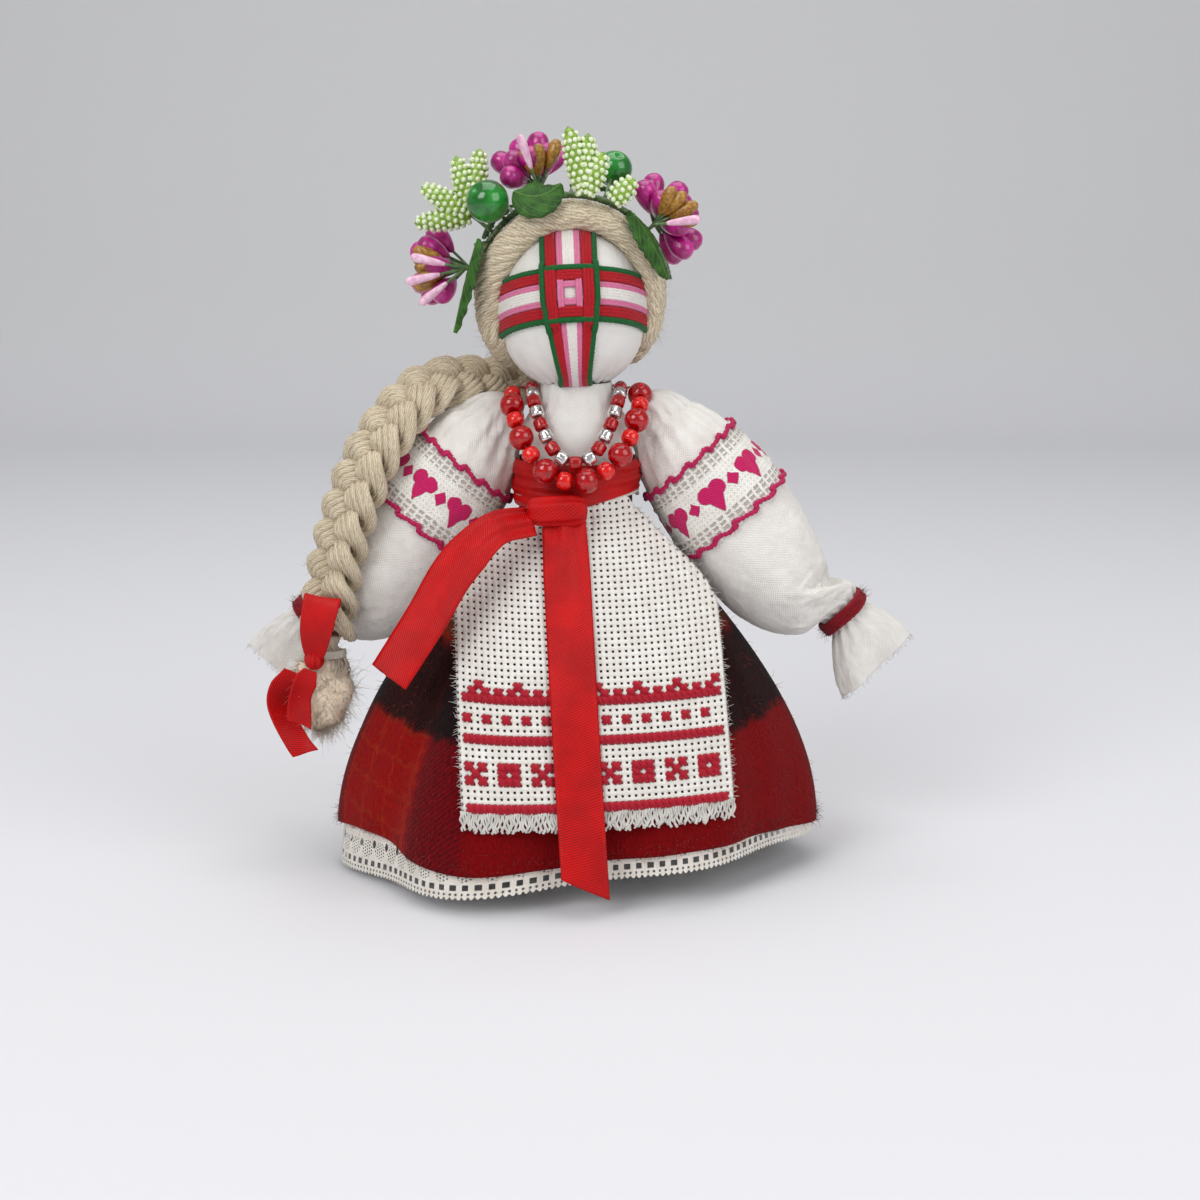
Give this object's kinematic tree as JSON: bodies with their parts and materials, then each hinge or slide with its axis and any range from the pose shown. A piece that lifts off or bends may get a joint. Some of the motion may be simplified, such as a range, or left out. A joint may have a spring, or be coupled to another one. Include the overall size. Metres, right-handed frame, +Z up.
{
  "type": "wound cloth doll",
  "caption": "Standing folk doll of rolled and bound cloth with a thread cross for a face, full sleeves, plaid skirt, embroidered apron, ribbon sash, beads, plait and flower wreath.",
  "frame": {"origin": "centre of the wound core's flat foot, on the surface the doll stands on", "axes": "+Z up along the doll's body, -Y the way the doll faces, +X towards its left hand"},
  "size_m": [0.1687, 0.0983, 0.1843],
  "materials": {
    "white_cotton": "plain woven cotton",
    "core_cloth": "rolled cotton strip",
    "stuffing": "soft wadding",
    "binding_thread": "dark red cotton thread",
    "plaid_wool": "brushed checked wool",
    "lace": "open cotton lace",
    "aida_cloth": "even-weave cotton with cross-stitch",
    "satin_ribbon": "satin ribbon",
    "white_thread": "embroidery thread",
    "pink_thread": "embroidery thread",
    "red_thread": "embroidery thread",
    "green_thread": "embroidery thread",
    "wool_yarn": "undyed wool yarn",
    "red_glass": "glossy red glass",
    "seed_glass": "glossy seed beads",
    "pink_petal": "glossy moulded stamens",
    "gold_grain": "pearly moulded stamens",
    "pale_petal": "pale moulded stamens",
    "leaf_green": "cut cloth leaves on bound wire",
    "berry_green": "glossy moulded berries",
    "sprig_foam": "grains on moulded sprigs"
  },
  "bodies": {
    "torso": {"body_roll": "core_cloth", "blouse": "white_cotton", "neck_tie": "binding_thread", "skirt": "plaid_wool", "petticoat": "white_cotton", "lace_hem": "lace", "waist_tie": "binding_thread", "sash_band": "satin_ribbon", "sash_knot": "satin_ribbon", "beads_outer": "red_glass", "beads_inner": "seed_glass"},
    "apron": {"apron": "aida_cloth"},
    "sash_tail_centre": {"sash_tail_centre": "satin_ribbon"},
    "sash_tail_side": {"sash_tail_side": "satin_ribbon"},
    "left_arm": {"left_sleeve": "white_cotton", "left_arm_stuffing": "stuffing", "left_sleeve_trim": "lace", "left_wrist_tie": "binding_thread"},
    "right_arm": {"right_sleeve": "white_cotton", "right_arm_stuffing": "stuffing", "right_sleeve_trim": "lace", "right_wrist_tie": "binding_thread"},
    "plait": {"plait_strand_1": "wool_yarn", "plait_strand_2": "wool_yarn", "plait_strand_3": "wool_yarn", "plait_tuft": "wool_yarn", "plait_tie": "binding_thread", "bow_loop": "satin_ribbon", "bow_tail_front": "satin_ribbon", "bow_tail_back": "satin_ribbon"},
    "head": {"head_cloth": "white_cotton", "head_stuffing": "stuffing", "face_thread_white": "white_thread", "face_thread_pink": "pink_thread", "face_thread_red": "red_thread", "face_thread_green": "green_thread", "hair": "wool_yarn", "wreath_wire": "leaf_green", "stamens_pink_left": "pink_petal", "stamens_gold_left": "gold_grain", "stamens_pale_left": "pale_petal", "stamens_pink_top": "pink_petal", "stamens_gold_top": "gold_grain", "stamens_pale_top": "pale_petal", "stamens_pink_right": "pink_petal", "stamens_gold_right": "gold_grain", "stamens_pale_right": "pale_petal", "berry_left": "berry_green", "berry_right": "berry_green", "sprig_left": "sprig_foam", "sprig_top": "sprig_foam", "sprig_right": "sprig_foam", "leaf_left": "leaf_green", "leaf_top_left": "leaf_green", "leaf_top": "leaf_green", "leaf_top_right": "leaf_green", "leaf_right": "leaf_green"}
  },
  "joints": [
    {"name": "head_turn", "type": "hinge", "parent": "torso", "child": "head", "pos_m": [0, 0, 0.1216], "axis": [-0.0523, 0, 0.9986], "range_deg": [-10, 10]},
    {"name": "left_arm_raise", "type": "hinge", "parent": "torso", "child": "left_arm", "pos_m": [0.0222, 0.002, 0.111], "axis": [0, -1, 0], "range_deg": [0, 40]},
    {"name": "right_arm_raise", "type": "hinge", "parent": "torso", "child": "right_arm", "pos_m": [-0.0222, 0.002, 0.1104], "axis": [0, 1, 0], "range_deg": [0, 12]},
    {"name": "plait_lift", "type": "hinge", "parent": "right_arm", "child": "plait", "pos_m": [-0.022, 0.014, 0.1202], "axis": [-1, 0, 0], "range_deg": [0, 24]},
    {"name": "apron_lift", "type": "hinge", "parent": "torso", "child": "apron", "pos_m": [0, -0.014, 0.0917], "axis": [-1, 0, 0], "range_deg": [0, 20]},
    {"name": "sash_tail_centre_lift", "type": "hinge", "parent": "apron", "child": "sash_tail_centre", "pos_m": [-0.003, -0.0187, 0.0877], "axis": [-1, 0, 0], "range_deg": [0, 45]},
    {"name": "sash_tail_side_lift", "type": "hinge", "parent": "apron", "child": "sash_tail_side", "pos_m": [-0.0107, -0.0204, 0.091], "axis": [-1, 0, 0], "range_deg": [0, 40]}
  ]
}
